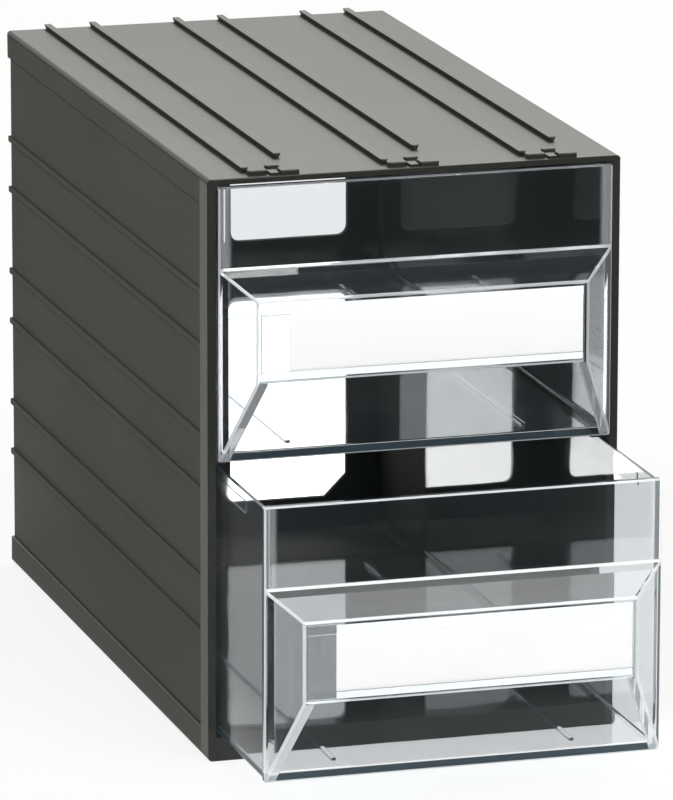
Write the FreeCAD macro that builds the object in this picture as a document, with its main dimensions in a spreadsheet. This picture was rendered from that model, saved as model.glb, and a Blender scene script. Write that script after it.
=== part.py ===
import FreeCAD, Part

import os
import re

# Small-parts cabinet: a moulded case with two clear drawers, in millimetres.
# The origin is the centre of the case's base, +Z is up and the drawers pull out towards -Y.

doc = FreeCAD.newDocument("drawer_unit")
sheet = doc.addObject("Spreadsheet::Sheet", "Sizes")

# Driving dimensions, one cell each
sizes = {
    # Case
    "case_width": 116.6,
    "case_depth": 218,
    "case_height": 162,
    "side_wall": 1.5,
    "side_relief": 0.9,
    "top_wall": 1.6,
    "back_wall": 2.0,
    "floor_wall": 2.2,
    "long_edge_radius": 1.2,
    "cavity_radius": 0.8,
    "sill_height": 6.6,
    "sill_thickness": 2.4,
    "sill_lip": 0.6,
    # Bands, collar and ribs on the case's sides
    "edge_band_height": 8.0,
    "collar_length": 8.0,
    "side_pitch": 40.0,
    "side_channel_width": 17.0,
    "side_channel_middle": 82.0,
    "side_rib_width": 1.8,
    # Dovetail ribs, end stops and snap bumps on the top
    "joining_pitch": 39.2,
    "channel_width": 15.8,
    "rib_head": 2.2,
    "rib_foot": 1.0,
    "rib_height": 1.4,
    "left_rib_setback": 6.5,
    "right_rib_setback": 22.0,
    "stop_bar_width": 5.2,
    "stop_bar_gap": 3.4,
    "stop_bar_end": 5.0,
    "left_bar_setback": 2.2,
    "right_bar_setback": 0.8,
    "stop_bar_height": 1.3,
    "nib_width": 2.4,
    "nib_height": 0.7,
    "bump_setback": 9.5,
    "bump_length": 1.8,
    "bump_width": 3.8,
    "bump_offset": 1.8,
    "bump_height": 0.9,
    # Joining rails under the floor
    "base_recess": 1.9,
    "rail_clearance": 0.3,
    # Windows in the back wall
    "window_side_margin": 12.5,
    "window_width": 36.5,
    "window_height": 61.0,
    "upper_window_sill": 10.4,
    "lower_window_sill": 6.6,
    "window_radius": 3.0,
    "window_corner": 6.6,
    # Drawers
    "side_gap": 0.3,
    "edge_gap": 0.4,
    "between_gap": 1.4,
    "back_gap": 7.0,
    "front_proud": 1.6,
    "panel_thickness": 2.0,
    "wall_inset": 0.4,
    "drawer_wall": 1.1,
    "drawer_floor": 1.8,
    "wall_drop": 0.8,
    "tub_radius": 1.2,
    "tub_inner_radius": 0.8,
    "floor_rib_inset": 22.0,
    "floor_rib_width": 1.2,
    "floor_rib_height": 0.8,
    "floor_rib_setback": 10.0,
    # Guide strips, ledges and stops
    "guide_drop": 6.0,
    "guide_height": 3.2,
    "guide_setback": 18.0,
    "guide_clearance": 0.3,
    "ledge_width": 4.0,
    "ledge_thickness": 1.2,
    "ledge_setback": 4.0,
    "stop_length": 2.0,
    "stop_clearance": 0.3,
    "closing_stop_height": 3.2,
    "lug_height": 0.7,
    "end_gap": 0.2,
    "drawer_travel": 160.0,
    "lower_drawer_pull": 44.0,
    # Label handle
    "handle_drop": 22.7,
    "handle_top_slope": 7.8,
    "label_height": 22.5,
    "handle_depth": 7.0,
    "handle_inset": 9.0,
    "handle_wall": 1.8,
    "pocket_margin": 1.0,
    "lip_thickness": 0.5,
    "upper_lip_height": 2.6,
    "lower_lip_height": 2.0,
    # Label card
    "card_thickness": 0.4,
    "card_clearance": 0.05,
    "card_end_gap": 8.1,
    "card_edge_gap": 0.3,
}
for row, (alias, value) in enumerate(sizes.items(), start=1):
    sheet.set(f"A{row}", alias)
    sheet.set(f"B{row}", str(value))
    sheet.setAlias(f"B{row}", alias)
doc.recompute()


def formula(text):
    """The text with every driving dimension written as a cell of the sheet."""
    return re.sub(r"[a-z_]+", lambda word: f"Sizes.{word[0]}" if word[0] in sizes else word[0], text)


def bind(item, path, text):
    item.setExpression(path, formula(text))


def place(item, corner):
    for axis, text in zip("xyz", corner):
        bind(item, f"Placement.Base.{axis}", text)


def spans(low, high):
    return [f"({top}) - ({bottom})" for bottom, top in zip(low, high)]


def block(name, low, high):
    """A plain box between two corners."""
    item = doc.addObject("Part::Box", name)
    for side, text in zip(("Length", "Width", "Height"), spans(low, high)):
        bind(item, side, text)
    place(item, low)
    return item


def soft_block(name, low, high, radius, chosen):
    """A box between two corners, with the chosen edges rounded."""
    body = doc.addObject("PartDesign::Body", name)
    box = body.newObject("PartDesign::AdditiveBox", f"{name}_box")
    for side, text in zip(("Length", "Width", "Height"), spans(low, high)):
        bind(box, side, text)
    doc.recompute()
    edges = [
        f"Edge{number}" for number, edge in enumerate(box.Shape.Edges, start=1) if chosen(edge, box.Shape)]
    rounding = body.newObject("PartDesign::Fillet", f"{name}_rounding")
    rounding.Base = (box, edges)
    bind(rounding, "Radius", radius)
    body.Tip = rounding
    place(body, low)
    return body


def wedge(name, near, far):
    """A frustum along Y. Each end is its Y and the low and high corner of its rectangle in X and Z."""
    item = doc.addObject("Part::Wedge", name)
    near_y, near_low, near_high = near
    far_y, far_low, far_high = far
    values = {
        "Ymin": near_y, "Xmin": near_low[0], "Zmin": near_low[1],
        "Xmax": near_high[0], "Zmax": near_high[1],
        "Ymax": far_y, "X2min": far_low[0], "Z2min": far_low[1],
        "X2max": far_high[0], "Z2max": far_high[1],
    }
    for path, text in values.items():
        bind(item, path, text)
    return item


def fuse(name, items):
    item = doc.addObject("Part::MultiFuse", name)
    item.Shapes = items
    item.Refine = True
    return item


def cut(name, base, tools):
    item = doc.addObject("Part::Cut", name)
    item.Base = base
    item.Tool = tools[0] if len(tools) == 1 else fuse(f"{name}_tools", tools)
    item.Refine = True
    return item


def runs_along(edge, axis):
    return abs(abs(edge.tangentAt(edge.FirstParameter).dot(axis)) - 1) < 1e-6


def touches(edge, box, axis, side):
    """True where the whole edge lies on the box's lowest (-1) or highest (+1) face along the axis."""
    bounds = box.BoundBox
    lowest = (bounds.XMin, bounds.YMin, bounds.ZMin)
    highest = (bounds.XMax, bounds.YMax, bounds.ZMax)
    face = lowest[axis] if side < 0 else highest[axis]
    return all(abs(vertex.Point[axis] - face) < 1e-6 for vertex in edge.Vertexes)


ALONG_Y = FreeCAD.Vector(0, 1, 0)
BEYOND = "1"

# Shared places, as formulas of the driving dimensions
front = "(-case_depth / 2)"
back = "(case_depth / 2)"
side_total = "(side_wall + side_relief)"
opening_half = f"(case_width / 2 - {side_total})"
cavity_back = f"({back} - back_wall)"
floor_top = "(base_recess + floor_wall)"
ceiling = "(case_height - top_wall)"
front_half = f"({opening_half} - side_gap)"
front_height = f"(({ceiling} - sill_height - 2 * edge_gap - between_gap) / 2)"
lower_bottom = "(sill_height + edge_gap)"
upper_bottom = f"({ceiling} - edge_gap - {front_height})"
tub_half = f"({front_half} - wall_inset)"
guide_reach = f"({opening_half} - guide_clearance)"
ledge_reach = f"({opening_half} - ledge_width)"
rim_height = f"({front_height} - wall_drop)"
drawer_length = f"({cavity_back} - back_gap - {front} + front_proud)"
stop_face = f"({front} + ledge_setback + stop_length)"
channels = ("-joining_pitch", "0", "joining_pitch")
drawer_bottoms = {"upper": upper_bottom, "lower": lower_bottom}


# Case: a rounded box, hollowed from the front and relieved on its sides and under its floor
def case_shell():
    envelope = soft_block(
        "case_envelope",
        ("-case_width / 2", front, "0"), ("case_width / 2", back, "case_height"),
        "long_edge_radius", lambda edge, box: runs_along(edge, ALONG_Y))
    cavity = soft_block(
        "case_cavity",
        (f"-{opening_half}", f"{front} - {BEYOND}", floor_top), (opening_half, cavity_back, ceiling),
        "cavity_radius", lambda edge, box: runs_along(edge, ALONG_Y))
    hollows = [cavity]
    hollows.append(block(
        "base_hollow",
        (f"-{opening_half}", f"{front} + sill_thickness", f"-{BEYOND}"),
        (opening_half, f"{back} + {BEYOND}", "base_recess")))
    for number, centre in enumerate(channels, start=1):
        hollows.append(block(
            f"sill_notch_{number}",
            (f"{centre} - channel_width / 2 - rail_clearance", f"{front} + sill_lip", f"-{BEYOND}"),
            (f"{centre} + channel_width / 2 + rail_clearance", f"{front} + sill_thickness", "base_recess")))
    relief_front = f"{front} + collar_length"
    for hand, outer, inner in (("left", f"-case_width / 2 - {BEYOND}", "-case_width / 2 + side_relief"),
                               ("right", "case_width / 2 - side_relief", f"case_width / 2 + {BEYOND}")):
        hollows.append(block(
            f"{hand}_relief",
            (outer, relief_front, "edge_band_height"),
            (inner, f"{back} + {BEYOND}", "case_height - edge_band_height")))
    return cut("case_shell", envelope, hollows + back_windows())


# Windows: two behind each drawer, through which a finger pushes the drawer out
def back_windows():
    windows = []
    for level, bottom in drawer_bottoms.items():
        window_bottom = f"({bottom} + {level}_window_sill)"
        near = "(case_width / 2 - window_side_margin - window_width)"
        far = "(case_width / 2 - window_side_margin)"
        for hand, low_x, high_x in (("left", f"-{far}", f"-{near}"), ("right", near, far)):
            low = (low_x, f"{cavity_back} - {BEYOND}", window_bottom)
            high = (high_x, f"{back} + {BEYOND}", f"{window_bottom} + window_height")
            windows.append(window(level, hand, low, high))
    return windows


# The lower windows have a large sloping corner at the bottom, next to the case's side
def window(level, hand, low, high):
    name = f"{level}_{hand}_window"
    outer = -1 if hand == "left" else 1

    def is_sloping(edge, box):
        return level == "lower" and touches(edge, box, 2, -1) and touches(edge, box, 0, outer)

    item = soft_block(
        name, low, high, "window_radius",
        lambda edge, box: runs_along(edge, ALONG_Y) and not is_sloping(edge, box))
    doc.recompute()
    rounded = item.Tip
    edges = [
        f"Edge{number}" for number, edge in enumerate(rounded.Shape.Edges, start=1)
        if runs_along(edge, ALONG_Y) and is_sloping(edge, rounded.Shape)]
    if edges:
        slope = item.newObject("PartDesign::Chamfer", f"{name}_slope")
        slope.Base = (rounded, edges)
        bind(slope, "Size", "window_corner")
        item.Tip = slope
    return item


# Side ribs: three pairs on each side, flush with the collar and the bands along the edges
def side_ribs():
    ribs = []
    for hand, low_x, high_x in (("left", "-case_width / 2", "-case_width / 2 + side_relief"),
                                ("right", "case_width / 2 - side_relief", "case_width / 2")):
        for number, step in enumerate(("-side_pitch", "0", "side_pitch"), start=1):
            middle = f"(side_channel_middle + {step})"
            for edge, bottom in (("low", f"{middle} - side_channel_width / 2"),
                                 ("high", f"{middle} + side_channel_width / 2 - side_rib_width")):
                ribs.append(block(
                    f"{hand}_rib_{number}_{edge}",
                    (low_x, f"{front} + collar_length / 2", bottom),
                    (high_x, back, f"{bottom} + side_rib_width")))
    return ribs


# A dovetail rail along Y, standing on the given height, with its front end at the setback
def dovetail(name, middle, widths, setback, bottom, height):
    length = f"{back} - {setback}"
    low_half, high_half = (f"({width}) / 2" for width in widths)
    item = wedge(
        name,
        ("0", (f"{middle} - {low_half}", front), (f"{middle} + {low_half}", length)),
        (height, (f"{middle} - {high_half}", front), (f"{middle} + {high_half}", length)))
    item.Placement.Rotation = FreeCAD.Rotation(FreeCAD.Vector(1, 0, 0), 90)
    bind(item, "Placement.Base.z", bottom)
    return item


def snap_bump_corners(centre):
    middle = f"{centre} + bump_offset"
    near = f"{front} + bump_setback"
    return ((f"{middle} - bump_width / 2", near, "case_height"),
            (f"{middle} + bump_width / 2", f"{near} + bump_length", "case_height + bump_height"))


# Top: ribs in pairs, each pair a channel for a rail of the unit above, with end stops and a snap bump
def top_channels():
    pieces = []
    rib_offset = "(channel_width / 2 - rib_head / 2)"
    bar_end = f"{front} + stop_bar_end"
    for number, centre in enumerate(channels, start=1):
        for hand, middle in (("left", f"({centre} - {rib_offset})"),
                             ("right", f"({centre} + {rib_offset})")):
            pieces.append(dovetail(
                f"top_rib_{number}_{hand}", middle, ("rib_foot", "rib_head"),
                f"{hand}_rib_setback", "case_height", "rib_height"))
        bars = {
            "left_bar": ("-stop_bar_gap / 2 - stop_bar_width", "-stop_bar_gap / 2",
                         "left_bar_setback", "stop_bar_height"),
            "right_bar": ("stop_bar_gap / 2", "stop_bar_gap / 2 + stop_bar_width",
                          "right_bar_setback", "stop_bar_height"),
            "nib": ("-nib_width / 2", "nib_width / 2", "right_bar_setback", "nib_height"),
        }
        for name, (low_x, high_x, setback, height) in bars.items():
            pieces.append(block(
                f"channel_{number}_{name}",
                (f"{centre} + ({low_x})", f"{front} + {setback}", "case_height"),
                (f"{centre} + ({high_x})", bar_end, f"case_height + {height}")))
        pieces.append(block(f"channel_{number}_snap_bump", *snap_bump_corners(centre)))
    return pieces


# Base rails: each slides between two top ribs of the unit below, up to its end stops and over its snap bump
def base_rails():
    foot_gap = "(channel_width - rib_head - rib_foot)"
    head_gap = "(channel_width - 2 * rib_head)"
    slope = f"(({foot_gap} - {head_gap}) / rib_height)"
    widths = (f"{foot_gap} - 2 * rail_clearance",
              f"{foot_gap} - {slope} * base_recess - 2 * rail_clearance")
    setback = "(stop_bar_end + rail_clearance)"
    pieces = []
    for number, centre in enumerate(channels, start=1):
        rail = dovetail(f"base_rail_{number}_bar", centre, widths, setback, "0", "base_recess")
        bump_low, bump_high = snap_bump_corners(centre)
        pocket = block(
            f"base_rail_{number}_pocket",
            (f"{bump_low[0]} - rail_clearance", f"{bump_low[1]} - rail_clearance", f"-{BEYOND}"),
            (f"{bump_high[0]} + rail_clearance", f"{bump_high[1]} + rail_clearance",
             "bump_height + rail_clearance"))
        pieces.append(cut(f"base_rail_{number}", rail, [pocket]))
    return pieces


# Inside: the front sill, and for each drawer two ledges under its floor and stops at both ends of its way
def inner_fittings():
    pieces = [block(
        "front_sill",
        (f"-{opening_half}", front, floor_top),
        (opening_half, f"{front} + sill_thickness", "sill_height"))]
    stop_tops = {"upper": ceiling, "lower": f"({upper_bottom} - ledge_thickness)"}
    for level, bottom in drawer_bottoms.items():
        for hand, low_x, high_x in (("left", f"-{opening_half}", f"-{ledge_reach}"),
                                    ("right", ledge_reach, opening_half)):
            pieces.append(block(
                f"{level}_{hand}_ledge",
                (low_x, f"{front} + ledge_setback", f"{bottom} - ledge_thickness"),
                (high_x, cavity_back, bottom)))
            pieces.append(block(
                f"{level}_{hand}_stop",
                (low_x, f"{front} + ledge_setback", f"{bottom} + {rim_height} + stop_clearance"),
                (high_x, stop_face, stop_tops[level])))
            pieces.append(block(
                f"{level}_{hand}_closing_stop",
                (low_x, f"{cavity_back} - back_gap + end_gap", bottom),
                (high_x, cavity_back, f"{bottom} + closing_stop_height")))
    return pieces


# Drawer: its own frame has the outer face of the front panel at Y = 0 and its lower edge at Z = 0
def drawer_tub(level):
    low = (f"-{tub_half}", "panel_thickness / 2", "0")
    high = (tub_half, drawer_length, rim_height)
    outer = soft_block(
        f"{level}_tub_outer", low, high, "tub_radius",
        lambda edge, box: not touches(edge, box, 2, 1) and not touches(edge, box, 1, -1))
    inner = soft_block(
        f"{level}_tub_inner",
        (f"-{tub_half} + drawer_wall", "panel_thickness", "drawer_floor"),
        (f"{tub_half} - drawer_wall", f"{drawer_length} - drawer_wall", f"{front_height} + {BEYOND}"),
        "tub_inner_radius", lambda edge, box: not touches(edge, box, 2, 1))
    panel = block(
        f"{level}_panel",
        (f"-{front_half}", "0", "0"), (front_half, "panel_thickness", front_height))
    return fuse(f"{level}_tub", [cut(f"{level}_tub_walls", outer, [inner]), panel])


# Handle: a sloping hood across the front, open below for the fingers, with a pocket for the card
def drawer_handle(level):
    ridge = f"({front_height} - handle_drop)"
    label_top = f"({ridge} - handle_top_slope)"
    label_bottom = f"({label_top} - label_height)"
    label_half = f"({front_half} - handle_inset)"
    hollow_depth = "(handle_depth - handle_wall)"
    cheek = "(handle_wall * sqrt(handle_inset ^ 2 + handle_depth ^ 2) / handle_depth)"
    roof = "(handle_wall * sqrt(handle_top_slope ^ 2 + handle_depth ^ 2) / handle_depth)"
    hollow_half = f"({front_half} - handle_inset * {hollow_depth} / handle_depth - {cheek})"
    hollow_top = f"({ridge} - handle_top_slope * {hollow_depth} / handle_depth - {roof})"
    hood = wedge(
        f"{level}_hood",
        ("-handle_depth", (f"-{label_half}", label_bottom), (label_half, label_top)),
        ("0", (f"-{front_half}", "0"), (front_half, ridge)))
    hollow = wedge(
        f"{level}_hood_hollow",
        (f"-{hollow_depth}", (f"-{hollow_half}", f"-{BEYOND}"), (hollow_half, hollow_top)),
        ("0", (f"-{front_half} + {cheek}", f"-{BEYOND}"),
         (f"{front_half} - {cheek}", f"{ridge} - {roof}")))
    finger_way = wedge(
        f"{level}_finger_way",
        ("-handle_depth", (f"-{label_half} + {cheek}", f"-{BEYOND}"), (f"{label_half} - {cheek}", label_bottom)),
        ("0", (f"-{front_half} + {cheek}", f"-{BEYOND}"), (f"{front_half} - {cheek}", label_bottom)))
    pocket_half = f"({label_half} - pocket_margin)"
    card_front = "(-handle_depth + lip_thickness)"
    card_room = "(card_thickness + 2 * card_clearance)"
    pocket = block(
        f"{level}_pocket",
        (f"-{pocket_half}", card_front, f"{label_bottom} + pocket_margin"),
        (pocket_half, f"{card_front} + {card_room}", f"{label_top} - pocket_margin"))
    view_bottom = f"{label_bottom} + pocket_margin + lower_lip_height"
    view_hole = block(
        f"{level}_pocket_view",
        (f"-{pocket_half}", f"-handle_depth - {BEYOND}", view_bottom),
        (pocket_half, card_front, f"{label_top} - pocket_margin - upper_lip_height"))
    return cut(f"{level}_handle", hood, [hollow, finger_way, pocket, view_hole])


# Guide strips keep the drawer in the middle of the case; a lug on each rim meets the case's stop
def drawer_guides(level):
    pieces = []
    bottom = f"({front_height} - guide_drop)"
    lug_front = f"({stop_face} + drawer_travel + end_gap - {front} + front_proud)"
    for hand, low_x, high_x in (("left", f"-{guide_reach}", f"-{tub_half}"),
                                ("right", tub_half, guide_reach)):
        pieces.append(block(
            f"{level}_{hand}_guide",
            (low_x, "guide_setback", bottom),
            (high_x, f"{drawer_length} - tub_radius", f"{bottom} + guide_height")))
    for hand, low_x, high_x in (("left", f"-{tub_half}", f"-{tub_half} + drawer_wall"),
                                ("right", f"{tub_half} - drawer_wall", tub_half)):
        pieces.append(block(
            f"{level}_{hand}_lug",
            (low_x, lug_front, rim_height),
            (high_x, f"{lug_front} + stop_length", f"{rim_height} + lug_height")))
    return pieces


def floor_ribs(level):
    pieces = []
    rib_end = f"{drawer_length} - floor_rib_setback"
    for hand, middle in (("left", f"(-{front_half} + floor_rib_inset)"),
                         ("right", f"({front_half} - floor_rib_inset)")):
        pieces.append(block(
            f"{level}_{hand}_floor_rib",
            (f"{middle} - floor_rib_width / 2", "floor_rib_setback", "drawer_floor"),
            (f"{middle} + floor_rib_width / 2", rib_end, "drawer_floor + floor_rib_height")))
    return pieces


def drawer(level, pull):
    pieces = [drawer_tub(level), drawer_handle(level)] + drawer_guides(level) + floor_ribs(level)
    item = fuse(f"{level}_drawer", pieces)
    place(item, ("0", f"{front} - front_proud - {pull}", drawer_bottoms[level]))
    return item


# Label card: shorter than its pocket, pushed to the right-hand end
def label_card(level, pull):
    label_top = f"({front_height} - handle_drop - handle_top_slope)"
    label_bottom = f"({label_top} - label_height)"
    pocket_half = f"({front_half} - handle_inset - pocket_margin)"
    face = f"({front} - front_proud - {pull} - handle_depth + lip_thickness + card_clearance)"
    bottom = drawer_bottoms[level]
    return block(
        f"{level}_label_card",
        (f"-{pocket_half} + card_end_gap", face, f"{bottom} + {label_bottom} + pocket_margin"),
        (f"{pocket_half} - card_edge_gap", f"{face} + card_thickness",
         f"{bottom} + {label_top} - pocket_margin - card_edge_gap"))


case = fuse("case", [case_shell()] + side_ribs() + top_channels() + base_rails() + inner_fittings())
parts = [case]
for level, pull in (("upper", "0"), ("lower", "lower_drawer_pull")):
    parts.append(drawer(level, pull))
    parts.append(label_card(level, pull))
doc.recompute()

# Nothing is written unless every object and every shape is sound
for item in doc.Objects:
    if "Invalid" in item.State or "Error" in item.State:
        raise RuntimeError(f"{item.Label} failed: {item.State}")
for item in parts:
    if item.Shape.isNull() or not item.Shape.isValid() or len(item.Shape.Solids) != 1:
        raise RuntimeError(f"{item.Label} has no single sound solid")

os.makedirs("parts", exist_ok=True)
for item in parts:
    item.Shape.exportStep(f"parts/{item.Label}.step")
    print(item.Label, round(item.Shape.Volume), "mm3")
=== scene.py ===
import math

import bmesh
import bpy
from mathutils import Matrix, Vector


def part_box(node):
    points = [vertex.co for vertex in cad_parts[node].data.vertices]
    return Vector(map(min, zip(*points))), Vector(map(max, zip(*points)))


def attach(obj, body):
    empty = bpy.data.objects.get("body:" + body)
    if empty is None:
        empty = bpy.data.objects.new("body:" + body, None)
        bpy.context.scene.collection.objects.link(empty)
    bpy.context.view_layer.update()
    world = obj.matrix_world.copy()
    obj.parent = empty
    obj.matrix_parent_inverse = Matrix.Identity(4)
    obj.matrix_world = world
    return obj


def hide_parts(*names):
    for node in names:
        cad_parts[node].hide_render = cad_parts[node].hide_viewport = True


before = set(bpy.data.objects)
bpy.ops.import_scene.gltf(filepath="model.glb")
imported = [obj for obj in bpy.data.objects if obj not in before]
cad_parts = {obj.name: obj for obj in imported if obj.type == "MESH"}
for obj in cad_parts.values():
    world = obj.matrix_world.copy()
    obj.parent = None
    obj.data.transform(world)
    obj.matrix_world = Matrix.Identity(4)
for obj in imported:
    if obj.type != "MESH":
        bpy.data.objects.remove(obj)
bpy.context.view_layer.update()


# Case: one dark grey polystyrene moulding, open at the front, with joining ribs on its top and sides.
# The mould leaves a satin skin outside, a coarser matt grain on the recessed side panels and a dull skin
# inside and on the side ribs; on the side ribs that darker dull skin is painted shade of their undercuts.
# The collar is painted paler as a painted sheen, and every edge has the tool's small radius, with a painted
# highlight on it from a paler base colour.
class Wire:
    """A socket in a material's node tree. Arithmetic on wires adds Math nodes."""

    def __init__(self, tree, socket=None):
        self.tree = tree
        self.socket = socket

    def node(self, kind, settings=None, inputs=None, output=0):
        """Adds a node, sets it up, fills or links its inputs and returns one output."""
        made = self.tree.nodes.new(kind)
        for name, value in (settings or {}).items():
            setattr(made, name, value)
        for name, value in (inputs or {}).items():
            if isinstance(value, Wire):
                self.tree.links.new(value.socket, made.inputs[name])
            else:
                made.inputs[name].default_value = value
        return Wire(self.tree, made.outputs[output] if len(made.outputs) else None)

    def maths(self, operation, first, second):
        return self.node("ShaderNodeMath", {"operation": operation}, {0: first, 1: second})

    def __add__(self, other):
        return self.maths("ADD", self, other)

    __radd__ = __add__

    def __mul__(self, other):
        return self.maths("MULTIPLY", self, other)

    __rmul__ = __mul__

    def __sub__(self, other):
        return self.maths("SUBTRACT", self, other)

    def __rsub__(self, other):
        return self.maths("SUBTRACT", other, self)


def new_material(name):
    material = bpy.data.materials.new(name)
    material.use_nodes = True
    material.node_tree.nodes.clear()
    return material, Wire(material.node_tree)


def noise(wire, scale, detail, roughness=0.5):
    place = wire.node("ShaderNodeTexCoord", output="Object")
    return wire.node("ShaderNodeTexNoise", inputs={
        "Vector": place, "Scale": scale, "Detail": detail, "Roughness": roughness})


def position(wire, axis):
    place = wire.node("ShaderNodeTexCoord", output="Object")
    return wire.node("ShaderNodeSeparateXYZ", inputs={0: place}, output=axis)


def face_value(wire, name):
    return wire.node("ShaderNodeAttribute", {"attribute_name": name}, output="Fac")


def fade(wire, value, start, end, low=0.0, high=1.0):
    """Goes smoothly from low to high while the value goes from start to end."""
    return wire.node("ShaderNodeMapRange", {"interpolation_type": "SMOOTHSTEP"}, {
        "Value": value, "From Min": start, "From Max": end, "To Min": low, "To Max": high})


def bump(wire, strength, distance, height):
    return wire.node("ShaderNodeBump", inputs={
        "Strength": strength, "Distance": distance, "Height": height})


def blend_colours(wire, share, first, second):
    return wire.node(
        "ShaderNodeMix", {"data_type": "RGBA"},
        {"Factor": share, 6: (*first, 1), 7: (*second, 1)}, output=2)


collar_back = -0.101
collar_fade = 0.001


def case_plastic(name, dark, pale, roughness, shine, grain_scale, grain_depth, collar_sheen=0):
    material, wire = new_material(name)
    cloud = noise(wire, scale=18, detail=4)
    speck = noise(wire, scale=420, detail=2)
    grain = noise(wire, scale=grain_scale, detail=3, roughness=0.6)
    glint = face_value(wire, "painted_edge_glint")
    # Painted highlight: the rounded edges get a paler base colour here and a lower roughness below.
    share = cloud * 0.2 + speck * 0.1 + glint * 0.2
    if collar_sheen:
        # Painted sheen: the collar at the front of the case gets a paler base colour.
        along = position(wire, "Y")
        share = share + collar_sheen * fade(wire, along, start=collar_back, end=collar_back - collar_fade)
    skin = wire.node("ShaderNodeBsdfPrincipled", inputs={
        "Base Color": blend_colours(wire, share, dark, pale),
        "Roughness": roughness + cloud * 0.08 - glint * 0.1,
        "Specular IOR Level": shine,
        "Specular Tint": (0.99, 1.0, 0.92, 1),
        "Normal": bump(wire, strength=0.5, distance=grain_depth, height=grain),
    })
    wire.node("ShaderNodeOutputMaterial", inputs={"Surface": skin})
    return material


def breadth(face):
    return face.calc_area() / max(edge.calc_length() for edge in face.edges)


def softened_copy(node, name, radius, least_breadth, reach, longest):
    """A copy of a CAD solid with its flat faces joined and the edges that begin near its front rounded.

    Outer corners are rounded, and so is a fold between two faces that look forward.
    """
    same_place = 1e-6
    flat_angle = math.radians(0.5)
    least_angle = math.radians(35)
    most_angle = math.radians(120)
    looks_forward = -0.3
    mesh = bmesh.new()
    mesh.from_mesh(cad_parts[node].data)
    bmesh.ops.remove_doubles(mesh, verts=mesh.verts, dist=same_place)
    bmesh.ops.dissolve_limit(
        mesh, angle_limit=flat_angle, use_dissolve_boundaries=False,
        verts=mesh.verts, edges=mesh.edges, delimit=set())
    glint = mesh.faces.layers.float.new("painted_edge_glint")
    near = min(vertex.co.y for vertex in mesh.verts) + reach
    sharp = [
        edge for edge in mesh.edges
        if (edge.is_convex or all(face.normal.y < looks_forward for face in edge.link_faces))
        and least_angle < edge.calc_face_angle() < most_angle
        and min(vertex.co.y for vertex in edge.verts) < near
        and max(vertex.co.y for vertex in edge.verts) < near + longest
        and all(breadth(face) > least_breadth for face in edge.link_faces)]
    rounded = bmesh.ops.bevel(
        mesh, geom=sharp, offset=radius, offset_type="OFFSET", affect="EDGES",
        segments=3, profile=0.5, material=-1, clamp_overlap=False)
    for face in rounded["faces"]:
        face[glint] = 1
    shape = bpy.data.meshes.new(name)
    mesh.to_mesh(shape)
    mesh.free()
    piece = bpy.data.objects.new(name, shape)
    bpy.context.scene.collection.objects.link(piece)
    return piece


past_its_back = 1.0
case = softened_copy(
    "case", "case_moulding",
    radius=0.0003, least_breadth=0.0009, reach=past_its_back, longest=past_its_back)
satin, matt, dull_and_rib_shade = range(3)
case.data.materials.append(case_plastic(
    "case_satin", dark=(0.011, 0.011, 0.0095), pale=(0.048, 0.048, 0.0415),
    roughness=0.40, shine=0.5, grain_scale=2600, grain_depth=0.00003))
case.data.materials.append(case_plastic(
    "case_matt_panel", dark=(0.044, 0.044, 0.0385), pale=(0.128, 0.128, 0.112),
    roughness=0.62, shine=0.3, grain_scale=1500, grain_depth=0.00010, collar_sheen=0.7))
case.data.materials.append(case_plastic(
    "case_dull_and_rib_shade", dark=(0.030, 0.030, 0.0265), pale=(0.074, 0.074, 0.065),
    roughness=0.75, shine=0.15, grain_scale=1500, grain_depth=0.00006))
case_low, case_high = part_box("case")
straight = 0.99
side_depth = 0.001
panel_area = 0.0006
rib_bottom, rib_top = 0.012, 0.15
inside_bottom, inside_top = 0.001, 0.1605
inside_front = case_low.y + 0.0005
for face in case.data.polygons:
    outside = abs(face.center.x) > case_high.x - side_depth
    broad = abs(face.normal.x) > straight and face.area > panel_area
    rib = outside and face.center.y > collar_back and rib_bottom < face.center.z < rib_top
    between = inside_bottom < face.center.z < inside_top and face.center.y > inside_front
    if outside and broad:
        face.material_index = matt
    # The side ribs take the darker dull material, painted shade of their undercuts.
    elif rib or (between and not outside):
        face.material_index = dull_and_rib_shade
    else:
        face.material_index = satin
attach(case, "case")
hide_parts("case")


# Drawers: two clear polystyrene mouldings with thin walls, polished by the mould.
# Tub, front panel, label handle and guide strips are one piece. Light gathers pale blue in the rounded edges,
# at the cut ends of the handle's cheeks and along the panel's sides, where the walls meet it from behind;
# part of this comes from the scattering volume, and the rest is a painted glow from an opaque pale shader.
def light_path(wire, kind):
    return wire.node("ShaderNodeLightPath", output=kind)


def mix_shaders(wire, share, first, second):
    return wire.node("ShaderNodeMixShader", inputs={0: share, 1: first, 2: second})


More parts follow.
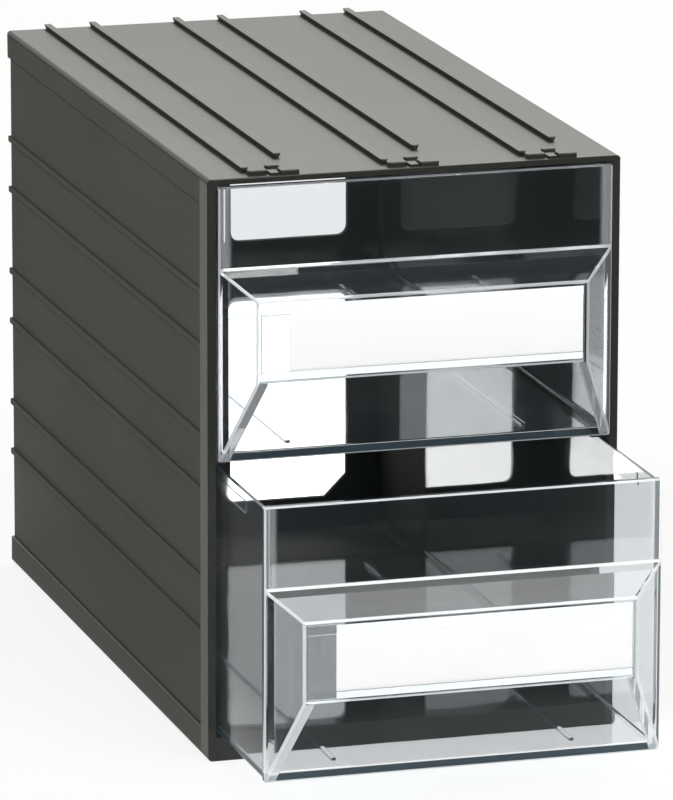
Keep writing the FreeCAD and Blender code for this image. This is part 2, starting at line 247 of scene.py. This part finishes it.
def clear_plastic(border_inside, border_outside):
    material, wire = new_material("clear_polystyrene")
    smear = noise(wire, scale=55, detail=3)
    ripple = noise(wire, scale=30, detail=2)
    glint = face_value(wire, "painted_edge_glint")
    sideways = wire.maths("ABSOLUTE", position(wire, "X"), 0)
    border = face_value(wire, "front_panel") * fade(wire, sideways, start=border_inside, end=border_outside)
    clear = wire.node("ShaderNodeBsdfPrincipled", inputs={
        "Base Color": (0.985, 0.993, 1.0, 1),
        "Roughness": smear * 0.03 + glint * 0.04,
        "IOR": 1.5,
        "Transmission Weight": 1.0,
        "Normal": bump(wire, strength=0.15, distance=0.0002, height=ripple),
    })
    # Painted glow: an opaque pale shader mixed into the rounded edges and the panel's side borders.
    painted_glow = wire.node("ShaderNodeBsdfPrincipled", inputs={
        "Base Color": (0.92, 0.96, 0.985, 1), "Roughness": 0.3, "IOR": 1.5})
    body = mix_shaders(wire, glint * 0.65 + border * 0.2, clear, painted_glow)
    see_through = wire.node("ShaderNodeBsdfTransparent", inputs={"Color": (0.9, 0.94, 0.95, 1)})
    surface = mix_shaders(wire, light_path(wire, "Is Shadow Ray"), body, see_through)
    tint = wire.node("ShaderNodeVolumeAbsorption", inputs={"Color": (0.45, 0.78, 0.95, 1), "Density": 14.0})
    milk = wire.node("ShaderNodeVolumeScatter", inputs={"Color": (0.7, 0.87, 1.0, 1), "Density": 12.0})
    depth = wire.node("ShaderNodeAddShader", inputs={0: tint, 1: milk})
    wire.node("ShaderNodeOutputMaterial", inputs={"Surface": surface, "Volume": depth})
    return material


handle_depth = 0.007
panel_tolerance = 0.0002
cheek_depth = 0.002
cut_least_slope, cut_downward = -0.9, -0.2
cut_end_glint = 0.6
top_edge_depth = 0.0008
# Painted shade: the upper drawer's edges get less painted glow, and its top edge under the case's rim less
# still.
edge_glint_by_level = {"upper": 0.6, "lower": 1.0}
rim_shade_on_top_edge = {"upper": 0.4, "lower": 1.0}
drawer_plastic = clear_plastic(border_inside=0.0516, border_outside=0.0532)
for level in ("upper", "lower"):
    drawer = softened_copy(
        f"{level}_drawer", f"{level}_drawer_moulding",
        radius=0.0005, least_breadth=0.0012, reach=0.0071, longest=0.003)
    drawer.data.materials.append(drawer_plastic)
    panel_face = min(vertex.co.y for vertex in drawer.data.vertices) + handle_depth
    top_edge = max(vertex.co.z for vertex in drawer.data.vertices) - top_edge_depth
    front_panel = drawer.data.attributes.new("front_panel", "FLOAT", "FACE")
    painted_edge_glint = drawer.data.attributes["painted_edge_glint"]
    for face, mark, glint_value in zip(drawer.data.polygons, front_panel.data, painted_edge_glint.data):
        mark.value = face.normal.y < -straight and abs(face.center.y - panel_face) < panel_tolerance
        # The cut ends of the handle's cheeks get painted glow.
        cut_end = -straight < face.normal.y < cut_least_slope and face.normal.z < cut_downward
        if cut_end and face.center.y < panel_face - cheek_depth:
            glint_value.value = max(glint_value.value, cut_end_glint)
        glint_value.value *= edge_glint_by_level[level]
        if face.center.z > top_edge:
            glint_value.value *= rim_shade_on_top_edge[level]
    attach(drawer, f"{level}_drawer")
    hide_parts(f"{level}_drawer")


# Label cards: plain white uncoated paper, cut shorter than the pocket and pushed to its right-hand end.
# Each one lies loose behind the clear front of its drawer's handle. The CAD solid is shown as it is.
def label_paper():
    material, wire = new_material("label_paper")
    fibre = noise(wire, scale=900, detail=4, roughness=0.65)
    tone = noise(wire, scale=60, detail=2)
    share = tone * 0.6 + fibre * 0.4
    paper = wire.node("ShaderNodeBsdfPrincipled", inputs={
        "Base Color": blend_colours(wire, share, (0.93, 0.93, 0.93), (0.87, 0.87, 0.865)),
        "Roughness": 0.75 + fibre * 0.15,
        "Specular IOR Level": 0.3,
        "Normal": bump(wire, strength=0.25, distance=0.00003, height=fibre),
    })
    wire.node("ShaderNodeOutputMaterial", inputs={"Surface": paper})
    return material


card_paper = label_paper()
for level in ("upper", "lower"):
    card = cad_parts[f"{level}_label_card"]
    card.data.materials.clear()
    card.data.materials.append(card_paper)


# Stage: a white floor that keeps a soft shadow, seen white through the clear drawers too.
# In a mirror image its glow is painted darker towards the front and the left, a painted shade with nothing
# there to cast it, so the clear fronts and sides mirror little of it.
floor_radius = 8.0
floor_gap = 0.0001
floor_mesh = bmesh.new()
bmesh.ops.create_circle(floor_mesh, cap_ends=True, segments=96, radius=floor_radius)
bmesh.ops.translate(floor_mesh, verts=floor_mesh.verts, vec=(0, 0, -floor_gap))
floor_shape = bpy.data.meshes.new("floor")
floor_mesh.to_mesh(floor_shape)
floor_mesh.free()
floor = bpy.data.objects.new("floor", floor_shape)
bpy.context.scene.collection.objects.link(floor)
floor_white, floor_wire = new_material("floor_white")
floor_x = position(floor_wire, "X")
floor_y = position(floor_wire, "Y")
ahead = fade(floor_wire, floor_y, start=-0.155, end=-0.2)
leftward = fade(floor_wire, floor_x, start=-0.03, end=-0.09)
beyond = fade(floor_wire, floor_y, start=0.2, end=0.45)
mirrored_once = floor_wire.node("ShaderNodeMath", {"operation": "COMPARE"}, {
    0: light_path(floor_wire, "Glossy Depth"), 1: 1, 2: 0.5})
# Painted shade: in a mirror image the floor's glow is dimmed in front of and to the left of the unit.
painted_mirror_shade = floor_wire.maths("MAXIMUM", ahead * 0.92, leftward * (0.93 + 0.04 * beyond)) * mirrored_once
in_plastic = floor_wire.maths(
    "MAXIMUM", light_path(floor_wire, "Is Glossy Ray"), light_path(floor_wire, "Is Transmission Ray"))
glow_share = light_path(floor_wire, "Is Camera Ray") * 0.8 + in_plastic
paint = floor_wire.node("ShaderNodeBsdfDiffuse", inputs={"Color": (0.8, 0.8, 0.8, 1)})
glow = floor_wire.node("ShaderNodeEmission", inputs={"Color": (1, 1, 1, 1), "Strength": 1 - painted_mirror_shade})
floor_wire.node("ShaderNodeOutputMaterial", inputs={
    "Surface": mix_shaders(floor_wire, glow_share, paint, glow)})
floor_shape.materials.append(floor_white)


# Light: a large soft box behind and above the unit, one in front for the labels, a fill for the left side,
# a narrow strip that draws the clear edges and a flat panel on the floor behind, white in the back windows.
# The surround is bright behind the unit and dim in front of it.
def soft_box(name, place, target, width, height, watts, tint=(1.0, 1.0, 1.0)):
    data = bpy.data.lights.new(name, "AREA")
    data.shape = "RECTANGLE"
    data.size = width
    data.size_y = height
    data.energy = watts
    data.color = tint
    lamp = bpy.data.objects.new(name, data)
    lamp.location = place
    lamp.rotation_euler = (Vector(target) - Vector(place)).to_track_quat("-Z", "Y").to_euler()
    lamp.visible_camera = False
    bpy.context.scene.collection.objects.link(lamp)


warm_white = (1.0, 0.98, 0.92)
soft_box("back_box", (0.8, 1.4, 1.3), (0, 0.1, 0.1), width=1.6, height=0.8, watts=15.5, tint=warm_white)
soft_box("front_box", (0.35, -1.2, 1.3), (0, -0.1, 0.1), width=1.6, height=1.04, watts=13.5)
soft_box("edge_strip", (0.5, -1.6, 0.75), (0, -0.1, 0.08), width=1.0, height=0.08, watts=8)
soft_box("back_panel", (0.035, 0.285, 0.0005), (0.035, 0.285, 1), width=0.23, height=0.27, watts=0.31)
soft_box("left_fill", (-1.2, -0.3, 1.4), (-0.06, 0, 0.08), width=0.7, height=0.7, watts=17)

surround = bpy.data.worlds.new("surround")
surround.use_nodes = True
surround.node_tree.nodes.clear()
sky_wire = Wire(surround.node_tree)
heading = sky_wire.node("ShaderNodeTexCoord", output="Generated")
backward = sky_wire.node("ShaderNodeSeparateXYZ", inputs={0: heading}, output="Y")
bright_behind = fade(sky_wire, backward, start=-0.2, end=0.8, low=0.12, high=1.0)
by_eye = light_path(sky_wire, "Is Camera Ray")
sky = sky_wire.node("ShaderNodeBackground", inputs={
    "Color": (1, 1, 1, 1), "Strength": by_eye + (1 - by_eye) * bright_behind})
sky_wire.node("ShaderNodeOutputWorld", inputs={"Surface": sky})
bpy.context.scene.world = surround


# Camera: a long lens, a little above the unit and to its left, with a trace of roll.
# The focal length is known in picture lines, because the view was fitted to the case's corners.
azimuth = math.radians(-16.717)
elevation = math.radians(13.866)
roll = math.radians(0.127)
distance, aside, above = 2.075, 0.01019, -0.00904
middle = Vector((0, 0, 0.081))
focal_lines, picture_lines = 7260.24, 800
sensor_width = 36
level_back = Vector((math.sin(azimuth), -math.cos(azimuth), 0))
back = level_back * math.cos(elevation) + Vector((0, 0, math.sin(elevation)))
right = Vector((math.cos(azimuth), math.sin(azimuth), 0))
up = back.cross(right)
turned_right = right * math.cos(roll) + up * math.sin(roll)
turned_up = up * math.cos(roll) - right * math.sin(roll)
lens = bpy.data.cameras.new("camera")
lens.lens = focal_lines * sensor_width / picture_lines
lens.sensor_width = sensor_width
lens.clip_start = 0.05
lens.clip_end = 60
camera = bpy.data.objects.new("camera", lens)
camera.matrix_world = Matrix((turned_right, turned_up, back)).transposed().to_4x4()
camera.location = middle + back * distance + right * aside + up * above
bpy.context.scene.collection.objects.link(camera)
bpy.context.scene.camera = camera
bpy.context.scene.view_settings.view_transform = "Standard"
